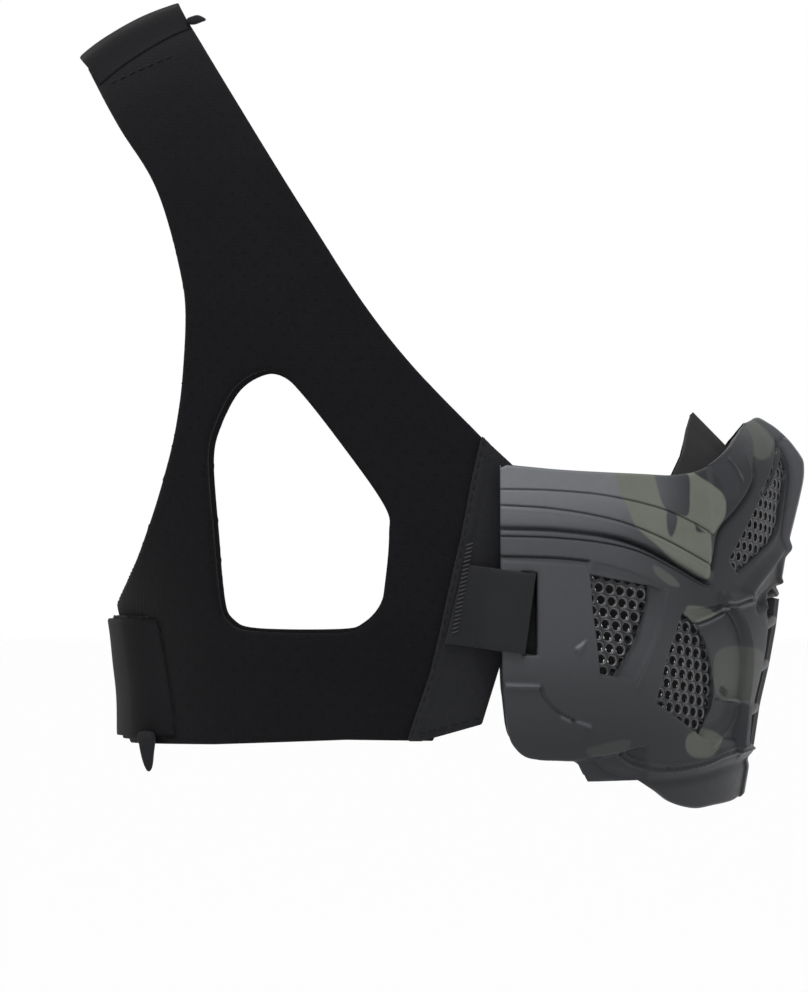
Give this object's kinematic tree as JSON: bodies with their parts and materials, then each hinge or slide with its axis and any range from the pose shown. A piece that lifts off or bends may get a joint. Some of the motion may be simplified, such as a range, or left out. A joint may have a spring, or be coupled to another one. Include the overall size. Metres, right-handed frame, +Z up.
{
  "type": "face mask",
  "caption": "Rigid vented half-face mask for nose, cheeks and chin, with perforated windows, slotted cheek straps and a two-sided fabric head harness that closes at crown and nape.",
  "frame": {"origin": "the middle of the wearer's head: on the mid plane, halfway between the two ear openings, the place that the mask is worn about", "axes": "+Z up, the mask's face looks along -Y, +X is the wearer's left"},
  "size_m": [0.162, 0.2187, 0.2413],
  "materials": {
    "shell_camo": "satin moulded plastic with a printed camouflage of dark grey, grey and olive patches",
    "mesh_steel": "dark painted perforated sheet with small hexagonal holes",
    "screw_steel": "blackened pan heads",
    "grille_plastic": "satin moulded plastic, dark grey",
    "saddle_rubber": "smooth soft rubber sheet",
    "pad_foam": "fine fabric over foam",
    "neoprene": "black brushed loop face on neoprene",
    "nylon_trim": "dark grey woven nylon with stitched edges",
    "loop_fabric": "black loop pile",
    "tab_fabric": "black woven face with a stitched border",
    "hook_tape": "black hook tape",
    "webbing": "dark grey flat elastic webbing"
  },
  "bodies": {
    "shell": {"face_shell": "shell_camo", "right_rear_mesh": "mesh_steel", "left_rear_mesh": "mesh_steel", "right_cheek_mesh": "mesh_steel", "left_cheek_mesh": "mesh_steel", "right_nose_mesh": "mesh_steel", "left_nose_mesh": "mesh_steel", "mouth_mesh": "mesh_steel", "right_mesh_screws": "screw_steel", "left_mesh_screws": "screw_steel", "mouth_grille": "grille_plastic", "nose_saddle": "saddle_rubber", "right_cheek_pad": "pad_foam", "left_cheek_pad": "pad_foam", "chin_pad": "pad_foam"},
    "right_slider": {"right_strap_fold": "webbing"},
    "left_slider": {"left_strap_fold": "webbing"},
    "right_strap": {"right_strap_run": "webbing"},
    "left_strap": {"left_strap_run": "webbing"},
    "right_half": {"right_side_panel": "neoprene", "right_front_trim": "nylon_trim", "right_strap_base": "webbing", "crown_loop_patch": "loop_fabric", "nape_loop_patch": "loop_fabric"},
    "left_half": {"left_side_panel": "neoprene", "left_front_trim": "nylon_trim", "left_strap_base": "webbing"},
    "crown_closure": {"crown_tab": "tab_fabric", "crown_hook_patch": "hook_tape", "crown_pull_tab": "nylon_trim"},
    "nape_closure": {"nape_tab": "tab_fabric", "nape_hook_patch": "hook_tape", "nape_pull_tab": "nylon_trim"}
  },
  "joints": [
    {"name": "mask_tilt", "type": "hinge", "parent": "shell", "child": "right_slider", "pos_m": [-0.0785, -0.0683, -0.0336], "axis": [1, 0, 0], "range_deg": [-14, 0]},
    {"name": "mask_tilt_left", "type": "hinge", "parent": "shell", "child": "left_slider", "pos_m": [0.0785, -0.0683, -0.0336], "axis": [1, 0, 0], "range_deg": [-14, 0]},
    {"name": "strap_stretch", "type": "slide", "parent": "right_slider", "child": "right_strap", "axis": [0, 1, 0], "range_m": [0, 0.008], "stiffness_N_per_m": 300},
    {"name": "strap_stretch_left", "type": "slide", "parent": "left_slider", "child": "left_strap", "axis": [0, 1, 0], "range_m": [0, 0.008], "stiffness_N_per_m": 300},
    {"name": "harness_open", "type": "hinge", "parent": "right_strap", "child": "right_half", "pos_m": [-0.0785, -0.056, -0.0336], "axis": [0, 0, 1], "range_deg": [0, 30]},
    {"name": "harness_open_left", "type": "hinge", "parent": "left_strap", "child": "left_half", "pos_m": [0.0785, -0.056, -0.0336], "axis": [0, 0, 1], "range_deg": [-30, 0]},
    {"name": "crown_tab_peel", "type": "hinge", "parent": "left_half", "child": "crown_closure", "pos_m": [0.012, 0.05, 0.1425], "axis": [0, 0.881, -0.473], "range_deg": [0, 60]},
    {"name": "nape_tab_peel", "type": "hinge", "parent": "left_half", "child": "nape_closure", "pos_m": [0.012, 0.0537, -0.053], "axis": [0, 0, -1], "range_deg": [0, 60]}
  ],
  "couplings": [
    {"joint": "mask_tilt_left", "follows": "mask_tilt", "ratio": 1},
    {"joint": "strap_stretch_left", "follows": "strap_stretch", "ratio": 1},
    {"joint": "harness_open_left", "follows": "harness_open", "ratio": -1},
    {"joint": "crown_tab_peel", "follows": "harness_open", "ratio": 2},
    {"joint": "nape_tab_peel", "follows": "harness_open", "ratio": 2}
  ]
}
